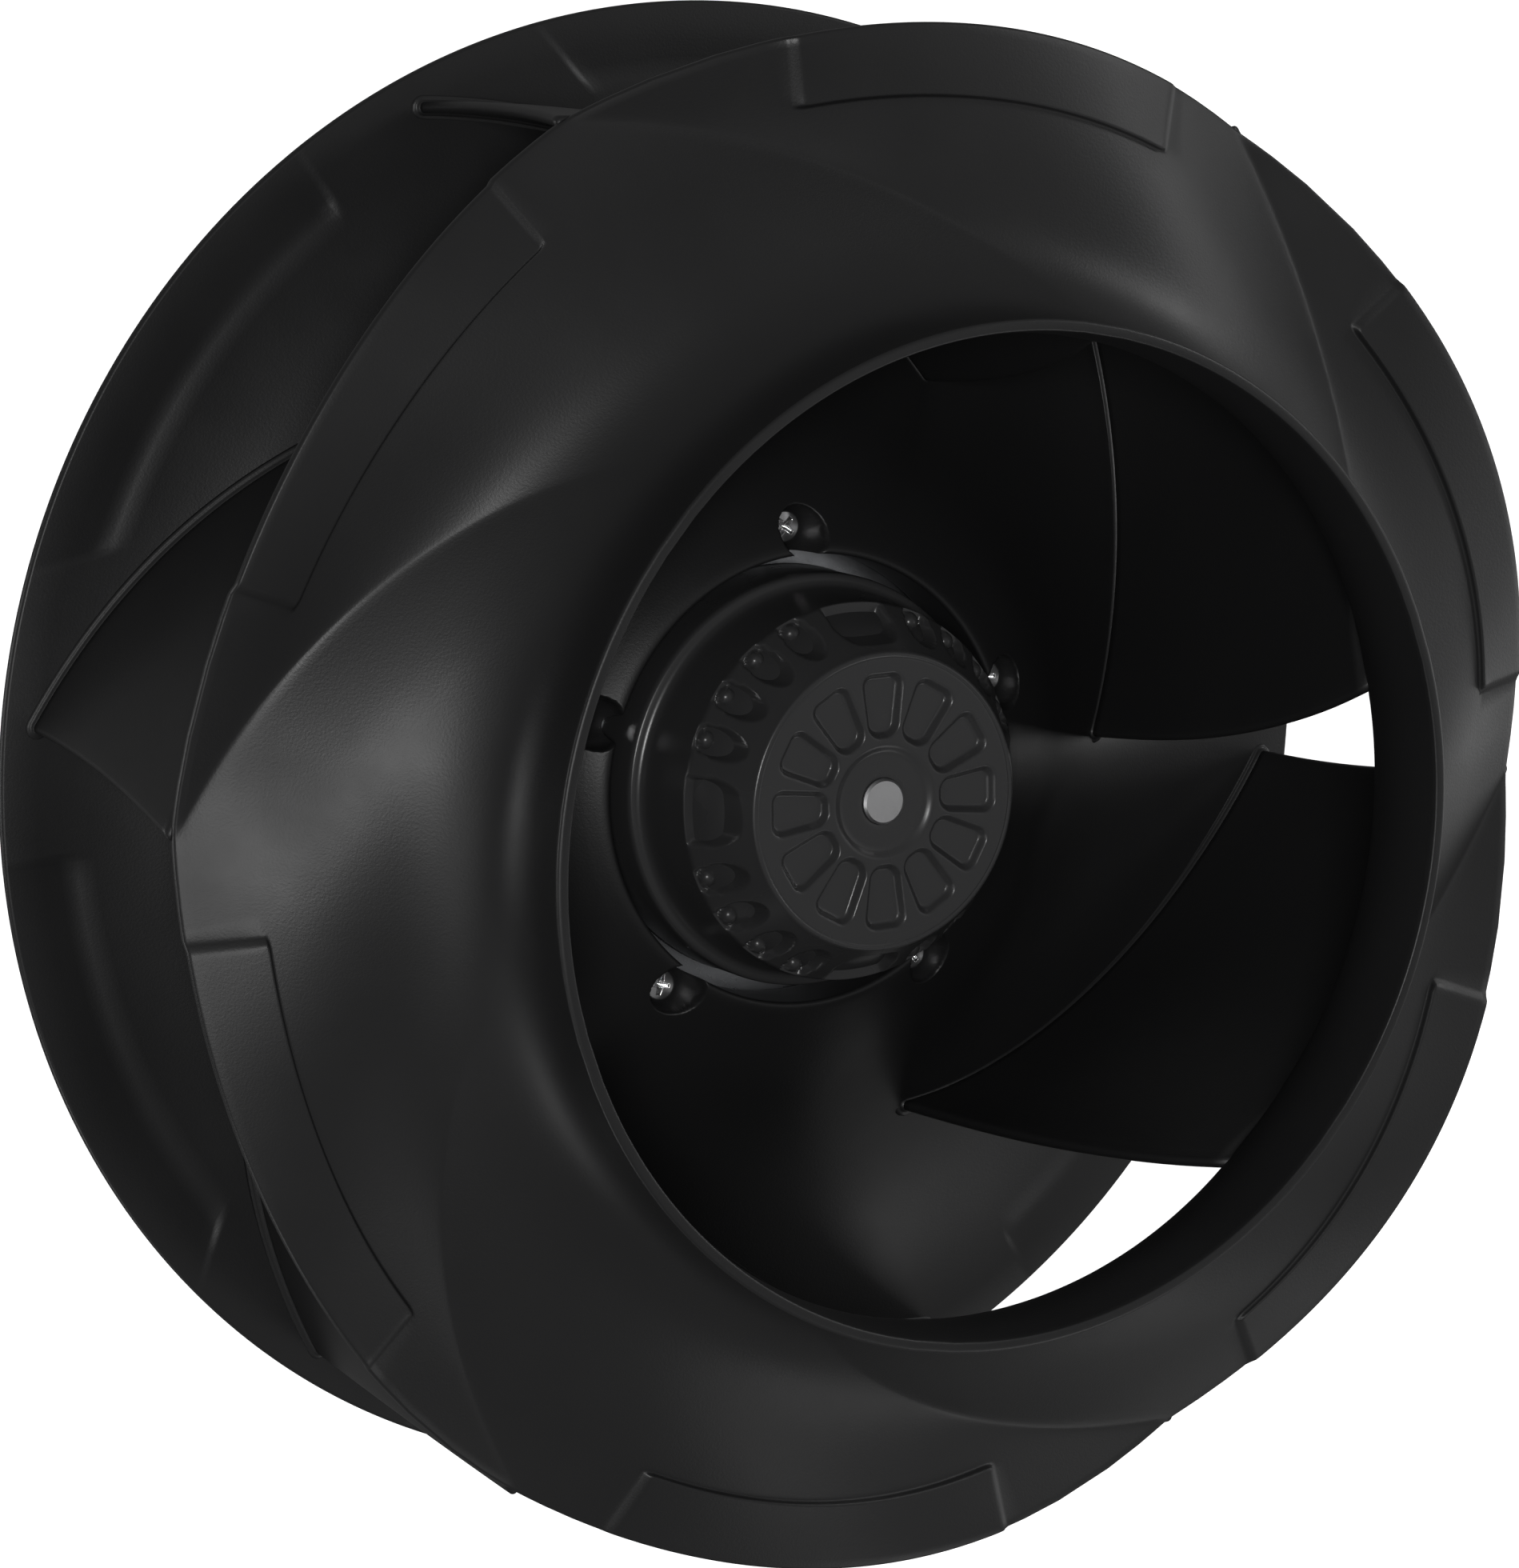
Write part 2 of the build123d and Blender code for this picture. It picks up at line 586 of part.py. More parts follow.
# ---- flange housing ---------------------------------------------------------------------
with BuildPart() as motor_flange:
    with BuildSketch(Plane.XZ):
        with BuildLine():
            Polyline(
                (COVER_R, 0),
                (FLANGE_R - 1, 0),
                (FLANGE_R, 1),
                (FLANGE_R, FLANGE_TOP_Z - 6),
                (FLANGE_R - 6, FLANGE_TOP_Z),
                (LABYRINTH_R + 2, FLANGE_TOP_Z),
                (LABYRINTH_R + 2, ROTOR_REAR_Z + 4),
                (LABYRINTH_R, ROTOR_REAR_Z + 4),
                (LABYRINTH_R, FLANGE_TOP_Z),
                (TUBE_R + 4, FLANGE_TOP_Z),
                (TUBE_R + 2, CORE_Z[0] - INSULATOR_T),
                (TUBE_R, CORE_Z[0] - INSULATOR_T),
                (TUBE_R, FRONT_BEARING_Z + BEARING_W),
                (BEARING_R, FRONT_BEARING_Z + BEARING_W),
                (BEARING_R, FRONT_BEARING_Z - SPRING_T),
                (BEARING_R - 1.5, FRONT_BEARING_Z - SPRING_T),
                (BEARING_R - 1.5, REAR_BEARING_Z + BEARING_W),
                (BEARING_R, REAR_BEARING_Z + BEARING_W),
                (BEARING_R, REAR_BEARING_Z - 2),
                (TUBE_R, REAR_BEARING_Z - 2),
                (TUBE_R + 1, FLANGE_FLOOR_Z),
                (POT_R, FLANGE_FLOOR_Z),
                (POT_R, LEDGE_Z),
                (COVER_R, LEDGE_Z),
                close=True,
            )
        make_face()
    revolve(axis=Axis.Z)
    # radial cooling fins round the housing
    with BuildSketch(Plane.XY.offset(FIN_Z[0])):
        for k in range(1, FINS - 1):
            with PolarLocations(FLANGE_R + FIN_H / 2 - 1, 1, start_angle=GLAND_ANG + (k + 0.5) * 360 / FINS):
                Rectangle(FIN_H + 2, FIN_T)
    extrude(amount=FIN_Z[1] - FIN_Z[0])
    # posts for the circuit board
    with BuildSketch(Plane.XY.offset(BOARD_Z + BOARD_T)):
        with PolarLocations(POST_R, 4, start_angle=45):
            Circle(4)
            Circle(1.25, mode=Mode.SUBTRACT)
    extrude(amount=FLANGE_FLOOR_Z - BOARD_Z - BOARD_T)
    # threaded mounting holes in the rear face
    with BuildSketch():
        with PolarLocations(MOUNT_R, 4, start_angle=45):
            Circle(MOUNT_HOLE_R)
    extrude(amount=MOUNT_DEPTH, mode=Mode.SUBTRACT)
    # cover screw bores in the ledge
    with BuildSketch(Plane.XY.offset(LEDGE_Z)):
        with PolarLocations(COVER_SCREW_R, 4, start_angle=45):
            Circle(1.5)
    extrude(amount=8, mode=Mode.SUBTRACT)
    # cable entry with its flat boss
    with BuildSketch(GLAND_AXIS.offset(FLANGE_R - 4)):
        Circle(GLAND_R + 4.5)
    extrude(amount=4 + BOSS_H)
    with BuildSketch(GLAND_AXIS.offset(POT_R - 3)):
        Circle(GLAND_R)
    extrude(amount=FLANGE_R - POT_R + 6, mode=Mode.SUBTRACT)
motor_flange.part.label = "motor_flange"
export_step(motor_flange.part, "parts/motor_flange.step")

with BuildPart() as preload_spring:
    with BuildSketch(Plane.XY.offset(FRONT_BEARING_Z - SPRING_T)):
        Circle(BEARING_R)
        Circle(BEARING_OUT_R, mode=Mode.SUBTRACT)
    extrude(amount=SPRING_T)
preload_spring.part.label = "preload_spring"
export_step(preload_spring.part, "parts/preload_spring.step")

with BuildPart() as circuit_board:
    with BuildSketch(Plane.XY.offset(BOARD_Z)):
        Circle(POT_R - 1)
        with PolarLocations(POST_R, 4, start_angle=45):
            Circle(1.6, mode=Mode.SUBTRACT)
    extrude(amount=BOARD_T)
circuit_board.part.label = "circuit_board"
export_step(circuit_board.part, "parts/circuit_board.step")

with BuildPart() as board_screws:
    with PolarLocations(POST_R, 4, start_angle=45):
        with Locations((0, 0, BOARD_Z)):
            Cylinder(2.8, 1.8, align=(Align.CENTER, Align.CENTER, Align.MAX))
            Cylinder(1.25, 8, align=(Align.CENTER, Align.CENTER, Align.MIN))
board_screws.part.label = "board_screws"
export_step(board_screws.part, "parts/board_screws.step")

with BuildPart() as board_capacitors:
    with BuildSketch(Plane.XY.offset(BOARD_Z + BOARD_T)):
        with PolarLocations(POST_R, 2, start_angle=75, angular_range=60):
            Circle(7)
    extrude(amount=13)
    chamfer(board_capacitors.faces().sort_by(Axis.Z)[-2:].edges(), 0.8)
board_capacitors.part.label = "board_capacitors"
export_step(board_capacitors.part, "parts/board_capacitors.step")

with BuildPart() as power_module:
    with BuildSketch(Plane.XY.offset(BOARD_Z + BOARD_T)):
        with Locations((-POST_R, 0)):
            Rectangle(12, 26)
    extrude(amount=FLANGE_FLOOR_Z - BOARD_Z - BOARD_T)
power_module.part.label = "power_module"
export_step(power_module.part, "parts/power_module.step")

with BuildPart() as cover_gasket:
    with BuildSketch(Plane.XY.offset(COVER_Z + COVER_T)):
        Circle(COVER_R - 0.2)
        Circle(POT_R, mode=Mode.SUBTRACT)
        with PolarLocations(COVER_SCREW_R, 4, start_angle=45):
            Circle(1.7, mode=Mode.SUBTRACT)
    extrude(amount=LEDGE_Z - COVER_Z - COVER_T)
cover_gasket.part.label = "cover_gasket"
export_step(cover_gasket.part, "parts/cover_gasket.step")

with BuildPart() as rear_cover:
    with BuildSketch(Plane.XY.offset(COVER_Z)):
        Circle(COVER_R - 0.2)
    extrude(amount=COVER_T)
    # stiffening ring pressed into the cover
    with BuildSketch(Plane.XY.offset(COVER_Z)):
        Circle(32)
        Circle(28, mode=Mode.SUBTRACT)
    extrude(amount=1, mode=Mode.SUBTRACT)
    with Locations(Plane.XY.offset(COVER_Z).rotated((180, 0, 0))):
        with PolarLocations(COVER_SCREW_R, 4, start_angle=45):
            CounterSinkHole(1.6, 3.0, depth=COVER_T)
rear_cover.part.label = "rear_cover"
export_step(rear_cover.part, "parts/rear_cover.step")

with BuildPart() as cover_screws:
    for k in range(4):
        x, y = polar(COVER_SCREW_R, 45 + 90 * k)
        with Locations((x, y, COVER_Z)):
            Cone(2.9, 1.5, 1.4, align=(Align.CENTER, Align.CENTER, Align.MIN))
            Cylinder(1.5, 10, align=(Align.CENTER, Align.CENTER, Align.MIN))
cover_screws.part.label = "cover_screws"
export_step(cover_screws.part, "parts/cover_screws.step")

with BuildPart() as cable_gland:
    with BuildSketch(GLAND_AXIS.offset(POT_R)):
        Circle(GLAND_R)
    extrude(amount=FLANGE_R - POT_R + BOSS_H)
    with BuildSketch(GLAND_AXIS.offset(FLANGE_R + BOSS_H)):
        RegularPolygon(9.5, 6)
    extrude(amount=5)
    with BuildSketch(GLAND_AXIS.offset(FLANGE_R + BOSS_H + 5)):
        Circle(8)
    extrude(amount=7, taper=8)
    with BuildSketch(GLAND_AXIS.offset(POT_R - 1)):
        Circle(4)
    extrude(amount=40, mode=Mode.SUBTRACT)
cable_gland.part.label = "cable_gland"
export_step(cable_gland.part, "parts/cable_gland.step")
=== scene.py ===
import json
from math import cos, pi, radians, sin, tan
import bmesh
import bpy
import numpy as np
from mathutils import Matrix, Vector


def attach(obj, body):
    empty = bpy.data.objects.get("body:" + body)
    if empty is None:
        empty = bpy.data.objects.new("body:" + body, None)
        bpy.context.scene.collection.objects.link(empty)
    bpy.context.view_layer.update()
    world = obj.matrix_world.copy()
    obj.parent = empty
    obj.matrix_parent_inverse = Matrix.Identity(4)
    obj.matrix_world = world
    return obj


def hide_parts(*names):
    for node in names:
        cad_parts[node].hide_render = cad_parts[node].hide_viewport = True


# Backward-curved fan impeller of black moulded plastic on an external rotor motor.
# Lengths named below are in millimetres and become metres in mesh_from(); angles are in degrees.
MM = 0.001
MERGE = 2e-7               # metres within which two corners of a capped mesh are one

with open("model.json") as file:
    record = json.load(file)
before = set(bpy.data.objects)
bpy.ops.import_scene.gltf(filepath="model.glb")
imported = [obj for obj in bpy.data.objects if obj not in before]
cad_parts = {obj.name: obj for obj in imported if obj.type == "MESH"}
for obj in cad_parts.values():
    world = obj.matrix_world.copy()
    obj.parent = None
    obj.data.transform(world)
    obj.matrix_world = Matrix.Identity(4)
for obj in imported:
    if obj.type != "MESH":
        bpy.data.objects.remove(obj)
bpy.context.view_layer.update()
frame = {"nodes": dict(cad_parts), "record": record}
nodes = frame["nodes"]

# ---- driving dimensions: the CAD part's, with cups, hub crest, rotor and blade edges measured closer ----
RIM_R = 200.0
REAR_Z = 8.0
BLADES = 6
PITCH = 360 / BLADES
WALL = 3.0
SPIRAL = 27.7
RIM_BLADE_ANG = 16.9
THROAT_R = 128.6
THROAT_Z = 161.0
HUB_OPENING_R = 59.5
HUB_FLOOR_Z = 57.5
SCREWS = 5
SCREW_PITCH_R = 65.5
SCREW_ANG = 37.6
CUP_R = 7.2
CUP_WALL = 1.3
CUP_RISE, CUP_POWER = 15.0, 6
CUP_BLEND = 0.7
CUP_HALF_ANG, CUP_COLUMNS = 8.5, 44
CREST = [(59.5, 74.8), (59.65, 75.5), (60.2, 75.9), (61.2, 75.8), (63.5, 74.7), (66, 73.2)]
COLUMNS = 480
SHIFT_START, SHIFT_SPAN = 77, 98   # over these radii the disc's columns pass from the cups to the panels
HUB_WALL_ROWS = 8
HEAD_R, HEAD_H = 4.75, 3.2
HEAD_ROUND, HEAD_DOME, HEAD_SHOULDER = 0.9, 0.35, 1.5
SHANK_R, SHANK_L = 2.5, 10.5
CROSS_W, CROSS_L, CROSS_DEPTH = 1.0, 2.7, 2.0
CROSS_WALL_SLOPE, CROSS_FLOOR_SLOPE, CROSS_BLEND = 4, 0.55, 0.25
CROSS_TURN = [0.35, 1.2, 0.8, 0.1, 1.05]   # radians, one a screw
ROTOR_FACE_Z = 114.0
SKIRT_R, SKIRT_TOP = 50.1, 91.0
ROTOR_COLUMNS = 480
WINDOW_PITCH, WINDOW_ANG, WINDOW_R, WINDOW_L = 30, 20.3, 25.0, 17.0
WINDOW_IN_W, WINDOW_OUT_W, WINDOW_CORNER = 8.8, 13.0, 3.7
WINDOW_DEPTH, WINDOW_SLOPE, WINDOW_BEVEL, WINDOW_BLEND = 2.1, 1.45, 1.45, 0.22
POCKET_ANG, POCKET_W, POCKET_Z, POCKET_DRAFT = 19.9, 6.6, 96.4, 6.5
POCKET_PITCH, POCKET_OFFSETS = 90, (-22.5, -7.5, 7.5, 22.5)
POCKET_BLEND = 0.25
BALL_R, BALL, BALL_RISE = 46.6, 2.6, 0.3   # where the pocket balls sit, their radius and their height
WIDE_POCKET_R, WIDE_POCKET_HALF_W, WIDE_POCKET_FLARE = 43.4, 7.0, 0.34
WIDE_POCKET_RISE, WIDE_POCKET_DRAFT, WIDE_POCKET_CORNER, WIDE_POCKET_BLEND = 0.4, 5.0, 1.6, 0.3

# radius, height and arch height of the shroud's outer surface, from the inlet lip out
SHROUD = [
    (130.2, 179.0, 0.0),
    (128.9, 170.0, 0.0),
    (128.6, 161.0, 0.0),
    (130.6, 152.5, 0.5),
    (136.0, 143.5, 2.2),
    (144.0, 135.2, 4.4),
    (156.0, 126.8, 7.4),
    (172.0, 119.0, 10.2),
    (187.0, 114.5, 11.3),
    (200.0, 112.5, 11.6),
]
DISC_TOP = [(66, 73.2), (80, 63.5), (96, 49.5), (133, 23.5), (174, 10), (200, 8)]
LEADING = [(116.2, 35), (117.4, 57), (119.1, 80), (121.4, 101), (124.2, 120), (127.6, 138), (130.6, 151)]
TRAILING = [(190.8, 8), (199.4, 118)]
TWIST = (1.5, 3.4)         # how the trailing edge turns off the spiral, foot and middle
FOOT_SINK = 0.3            # how deep the blades stand in the disc
STEEPEST = 3.5             # slope above which the shroud's wall counts as upright under a blade's head
# reach from the blade's camber and height over the disc, round the bead at a blade's foot
BEAD = [
    (0.0, -0.6), (3.4, -0.6), (3.2, 0.0), (2.9, 0.35), (2.5, 0.45),
    (2.2, 0.5), (1.9, 0.8), (1.6, 1.6), (0.0, 1.6),
]

EDGE_R = 0.9               # rounding of moulded edges
ROUND_TURN = np.linspace(0, pi, 8)[1:-1]   # the points of a rounding between two faces
VALLEY_SOFT = 0.03         # how round the shroud's valleys are, as a share of the arch
BAND_R, BAND_START, BAND_END, BAND_H = 181.0, 23.8, 59.2, 1.6
BAND_WALL, BAND_RAMP, BAND_CORNER = 1.0, 3.0, 3.5
PANEL_R, PANEL_START, PANEL_END, PANEL_RIM_END = 179.0, 23.4, 58.7, 62.4
PANEL_WALL, PANEL_CORNER = 3.2, 5.0
PANEL_HALF_ANG, PANEL_COLUMNS = 0.9, 14
LEAD_IN = 10


# ---- small mesh and curve helpers -------------------------------------------------------
def natural_spline(points, count):
    """count points on the smooth curve through points, evenly spaced along it."""
    p = np.array(points, float)
    step = np.linalg.norm(np.diff(p, axis=0), axis=1)
    t = np.concatenate([[0], np.cumsum(step)])
    n = len(p)
    a, b = np.eye(n), np.zeros_like(p)
    for i in range(1, n - 1):
        h0, h1 = step[i - 1], step[i]
        a[i, i - 1:i + 2] = h0, 2 * (h0 + h1), h1
        b[i] = 6 * ((p[i + 1] - p[i]) / h1 - (p[i] - p[i - 1]) / h0)
    curvature = np.linalg.solve(a, b)
    dense = np.linspace(0, t[-1], 40 * n)
    k = np.clip(np.searchsorted(t, dense) - 1, 0, n - 2)
    h = step[k][:, None]
    u, v = (t[k + 1] - dense)[:, None], (dense - t[k])[:, None]
    curve = (
        curvature[k] * u ** 3 / (6 * h) + curvature[k + 1] * v ** 3 / (6 * h)
        + (p[k] / h - curvature[k] * h / 6) * u + (p[k + 1] / h - curvature[k + 1] * h / 6) * v
    )
    return resampled(curve, np.linspace(0, 1, count))


def resampled(curve, shares):
    """Points of a polyline at the given shares of its length."""
    length = np.concatenate([[0], np.cumsum(np.linalg.norm(np.diff(curve, axis=0), axis=1))])
    at = np.asarray(shares) * length[-1]
    return np.stack([np.interp(at, length, curve[:, i]) for i in range(curve.shape[1])], axis=1)


def smoothstep(x):
    x = np.clip(x, 0, 1)
    return x * x * (3 - 2 * x)


def soft_min(a, b, blend):
    """The lower of two heights, with the corner between them rounded over blend."""
    near = np.clip(0.5 + 0.5 * (b - a) / blend, 0, 1)
    return b + (a - b) * near - blend * near * (1 - near)


def crowded(centres, half, inside, total):
    """total angles round the circle, inside of them within half of each centre, the rest spread evenly."""
    centres = np.sort(np.asarray(centres, float) % 360)
    gap = np.diff(np.append(centres, centres[0] + 360)) - 2 * half
    left = total - inside * len(centres)
    share = np.floor(left * gap / gap.sum()).astype(int)
    share[: left - share.sum()] += 1
    angles = []
    for centre, width, count in zip(centres, gap, share):
        angles.append(centre + np.linspace(-half, half, inside, endpoint=False))
        angles.append(centre + half + np.linspace(0, width, count, endpoint=False))
    return np.concatenate(angles)


def nearest_turn(ang, centre, pitch):
    """Angle from the nearest of the centres that repeat every pitch."""
    return (ang - centre + pitch / 2) % pitch - pitch / 2


def past_start(ang, start):
    """Angle past the last start, or below zero within LEAD_IN of the next; starts repeat every pitch."""
    local = (ang - start) % PITCH
    return np.where(local > PITCH - LEAD_IN, local - PITCH, local)


def spiral_angle(r):
    """Angle of the blade line at radius r."""
    return RIM_BLADE_ANG - np.degrees(np.log(RIM_R / r) / tan(radians(SPIRAL)))


def ring_points(r, angles, z):
    """Points at the given radii, angles and heights, as an array (rows, columns, 3)."""
    turn = np.radians(angles)
    return np.stack([r * np.cos(turn), r * np.sin(turn), z], axis=-1)


def mesh_from(name, grids, body, slot, closed_rows=True):
    """One object of quad grids, each an array (rows, columns, 3) in millimetres.

    Columns always close on themselves. Rows do too, or end in points that are merged into caps."""
    verts, faces, base = [], [], 0
    for grid in grids:
        rows, columns = grid.shape[:2]
        verts.append(grid.reshape(-1, 3) * MM)
        i, j = np.meshgrid(np.arange(rows if closed_rows else rows - 1), np.arange(columns), indexing="ij")
        i2, j2 = (i + 1) % rows, (j + 1) % columns
        quads = np.stack([i * columns + j, i * columns + j2, i2 * columns + j2, i2 * columns + j], axis=-1)
        faces.append(quads.reshape(-1, 4) + base)
        base += rows * columns
    mesh = bpy.data.meshes.new(name)
    mesh.from_pydata(np.concatenate(verts).tolist(), [], np.concatenate(faces).tolist())
    mesh.validate()
    if not closed_rows:
        whole = bmesh.new()
        whole.from_mesh(mesh)
        bmesh.ops.remove_doubles(whole, verts=whole.verts, dist=MERGE)
        bmesh.ops.recalc_face_normals(whole, faces=whole.faces)
        whole.to_mesh(mesh)
        whole.free()
    mesh.polygons.foreach_set("use_smooth", [True] * len(mesh.polygons))
    obj = bpy.data.objects.new(name, mesh)
    bpy.context.scene.collection.objects.link(obj)
    mesh.materials.append(MATERIALS[slot])
    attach(obj, body)
    return obj


def closed_section(curve, wall, edge, spread):
    """A thin wall's closed outline round an open meridional curve.

    Gives position along the curve (0 to 1), depth below it and how far past its end, for
    each point of the outline; spread chooses the rows along the curve."""
    length = np.linalg.norm(np.diff(curve, axis=0), axis=1).sum()
    inset = edge / length
    shares = inset + spread * (1 - 2 * inset)
    depth = wall / 2 * (1 - np.cos(ROUND_TURN))
    past = edge * np.sin(ROUND_TURN)
    first, last = (np.full(len(ROUND_TURN), share) for share in (shares[0], shares[-1]))
    position = np.concatenate([shares, last, shares[::-1], first])
    below = np.concatenate([np.zeros(len(shares)), depth, np.full(len(shares), wall), depth[::-1]])
    beyond = np.concatenate([np.zeros(len(shares)), past, np.zeros(len(shares)), -past])
    return position, below, beyond


def section_points(curve, position, below, beyond):
    """Radius and height of each outline point, and the curve's own values there."""
    on = resampled(curve, position)
    step = 0.002
    after, before = (resampled(curve, np.clip(position + way, 0, 1)) for way in (step, -step))
    ahead = after - before
    ahead = ahead[:, :2] / np.linalg.norm(ahead[:, :2], axis=1)[:, None]
    normal = np.stack([-ahead[:, 1], ahead[:, 0]], axis=1)
    return on[:, :2] - below[:, None] * normal + beyond[:, None] * ahead, on


def rounded_inside(dx, dy, corner):
    """How far inside a round-cornered region a point is, from its distances to two sides."""
    qx, qy = corner - dx, corner - dy
    out = np.hypot(np.maximum(qx, 0), np.maximum(qy, 0)) + np.minimum(np.maximum(qx, qy), 0)
    return corner - out


# ---- shroud -----------------------------------------------------------------------------
def band_height(r, ang):
    """How far the rim bands stand above the arches at a radius and an angle."""
    from_start = past_start(ang, BAND_START)
    arc = np.radians(1) * r
    ends = np.minimum(from_start, BAND_END - BAND_START - from_start) * arc
    inside = rounded_inside(r - BAND_R, ends, BAND_CORNER)
    steepness = smoothstep((ends + 1 - (r - BAND_R)) / 2)
    width = BAND_RAMP + (BAND_WALL - BAND_RAMP) * steepness
    return BAND_H * smoothstep(inside / width)


def shroud_grid():
    """Closed grid of the scalloped shroud: rows run round the wall's section, columns follow the blades."""
    curve = natural_spline(SHROUD, 600)
    radius = curve[:, 0]
    at = np.linspace(0, 1, len(curve))
    past_throat = at > 0.5
    near, far = (np.interp(r, radius[past_throat], at[past_throat]) for r in (BAND_R - 2, BAND_R + 3))
    spread = np.concatenate([
        np.linspace(0, near, 64, endpoint=False),
        np.linspace(near, far, 16, endpoint=False),
        np.linspace(far, 1, 9),
    ])
    position, below, beyond = closed_section(curve, WALL, EDGE_R, spread)
    section, on = section_points(curve, position, below, beyond)
    turned = np.where(on[:, 1] > THROAT_Z, THROAT_R, np.maximum(on[:, 0], THROAT_R))
    start = spiral_angle(turned)
    start_share = (BAND_START - spiral_angle(BAND_R)) / PITCH
    end_share = (BAND_END - spiral_angle(BAND_R)) / PITCH
    first = np.where(on[:, 0] > BAND_R, BAND_START, start + start_share * PITCH)
    last = np.where(on[:, 0] > BAND_R, BAND_END, start + end_share * PITCH)
    # from 0 to 3: the blade line, the band's two ends and the next blade line
    columns = np.concatenate([
        np.array([0, 0.04, 0.1, 0.2, 0.4, 0.7]),
        1 + np.array([-0.1, 0.0, 0.01, 0.02, 0.03, 0.04, 0.06, 0.1]),
        1 + np.linspace(0.14, 0.86, 30),
        2 + np.array([-0.1, -0.06, -0.04, -0.03, -0.02, -0.01, 0.0, 0.1]),
        2 + np.array([0.3, 0.6, 0.8, 0.9, 0.96]),
    ])
    grids = []
    for k in range(BLADES):
        knots = np.stack([start, first, last, start + PITCH], axis=1) + k * PITCH
        angles = np.stack([np.interp(columns, np.arange(4), row) for row in knots])
        grids.append(angles)
    angles = np.concatenate(grids, axis=1)
    arch = np.abs(np.sin(pi * (angles - start[:, None]) / PITCH))
    arch, peak = (np.sqrt(height ** 2 + VALLEY_SOFT ** 2) - VALLEY_SOFT for height in (arch, 1))
    arched = section[:, 1][:, None] + on[:, 2][:, None] * (arch / peak)
    z = arched + band_height(on[:, 0][:, None], angles)
    lip_z = SHROUD[0][1]
    return ring_points(section[:, 0][:, None], angles, np.minimum(z, lip_z))


# ---- blades -----------------------------------------------------------------------------
def coons(bottom, top, left, right, u, v):
    """Patch between four boundary curves, each a function of 0 to 1."""
    u, v = u[:, None], v[:, None]
    ruled = (1 - v) * bottom(u[:, 0]) + v * top(u[:, 0]) + (1 - u) * left(v[:, 0]) + u * right(v[:, 0])
    (b0, b1), (t0, t1) = (edge(np.array([0.0, 1.0])) for edge in (bottom, top))
    return ruled - ((1 - u) * (1 - v) * b0 + u * (1 - v) * b1 + (1 - u) * v * t0 + u * v * t1)


def blade_outline(u_count):
    """Chord share, side offset and overshoot round a blade's section, leading edge to trailing edge."""
    shares, flat = np.linspace(0, 1, u_count), np.zeros(u_count)
    half = WALL / 2
    across, ahead = half * np.cos(ROUND_TURN), half * np.sin(ROUND_TURN)
    side = np.concatenate([flat + half, across, flat - half, -across])
    beyond = np.concatenate([flat, ahead, flat, -ahead])
    share = np.concatenate([shares, np.ones(len(ROUND_TURN)), shares[::-1], np.zeros(len(ROUND_TURN))])
    return share, side, beyond


def disc_height(r):
    """Height of the back disc's front surface."""
    curve = natural_spline(DISC_TOP, 200)
    return np.interp(r, curve[:, 0], curve[:, 1])


def valley_height(r):
    """Height of the middle of the shroud's wall over a blade, outside the throat."""
    curve = natural_spline(SHROUD, 300)
    curve = curve[np.argmin(curve[:, 0]) + 1:]
    slope = np.gradient(curve[:, 1], curve[:, 0])
    middle = curve[:, 1] - WALL / 2 * np.hypot(1, np.clip(slope, -STEEPEST, STEEPEST))
    return np.interp(r, curve[:, 0], middle)


def twist(u, v):
    """Turn of the blade off its spiral at a chord share and a height share."""
    return u ** 2 * (1 - v) * (TWIST[0] - TWIST[1] * v)


def placed_on_spiral(meridian, side, beyond, turn):
    """Points at (radius, height), moved sideways off the blade's camber and along it."""
    r, z = meridian[..., 0], meridian[..., 1]
    ang = np.radians(spiral_angle(r) + turn)
    across = ang + pi - radians(SPIRAL)
    along = across - pi / 2
    x = r * np.cos(ang) + side * np.cos(across) + beyond * np.cos(along)
    y = r * np.sin(ang) + side * np.sin(across) + beyond * np.sin(along)
    return np.stack([x, y, z], axis=-1)


def blade_grids():
    """Capped grid of each blade, from the disc to the middle of the shroud's wall."""
    lead = natural_spline(LEADING, 60)
    trail = np.array(TRAILING, float)
    foot_r = (lead[0, 0], trail[0, 0])
    head_r = (lead[-1, 0], trail[-1, 0])

    def foot(u):
        r = foot_r[0] + u * (foot_r[1] - foot_r[0])
        return np.stack([r, disc_height(r) - FOOT_SINK], axis=1)

    def head(u):
        r = head_r[0] + u * (head_r[1] - head_r[0])
        return np.stack([r, valley_height(r)], axis=1)

    def fitted(curve, u):
        """The edge at chord share u, stretched in height to meet foot and head."""
        low, high = (end(np.array([u]))[0, 1] for end in (foot, head))

        def at(v):
            p = resampled(curve, v)
            p[:, 1] = low + (high - low) * (p[:, 1] - curve[0, 1]) / (curve[-1, 1] - curve[0, 1])
            return p
        return at

    left, right = fitted(lead, 0.0), fitted(trail, 1.0)
    share, side, beyond = blade_outline(48)
    levels = np.linspace(0, 1, 25)
    grids = []
    for k in range(BLADES):
        rows = []
        for v, thickness in [(0.0, 0.0)] + [(v, 1.0) for v in levels] + [(1.0, 0.0)]:
            meridian = coons(foot, head, left, right, share, np.full(len(share), v))
            turn = k * PITCH + twist(share, v)
            rows.append(placed_on_spiral(meridian, side * thickness, beyond * thickness, turn))
        grids.append(np.array(rows))
    return grids


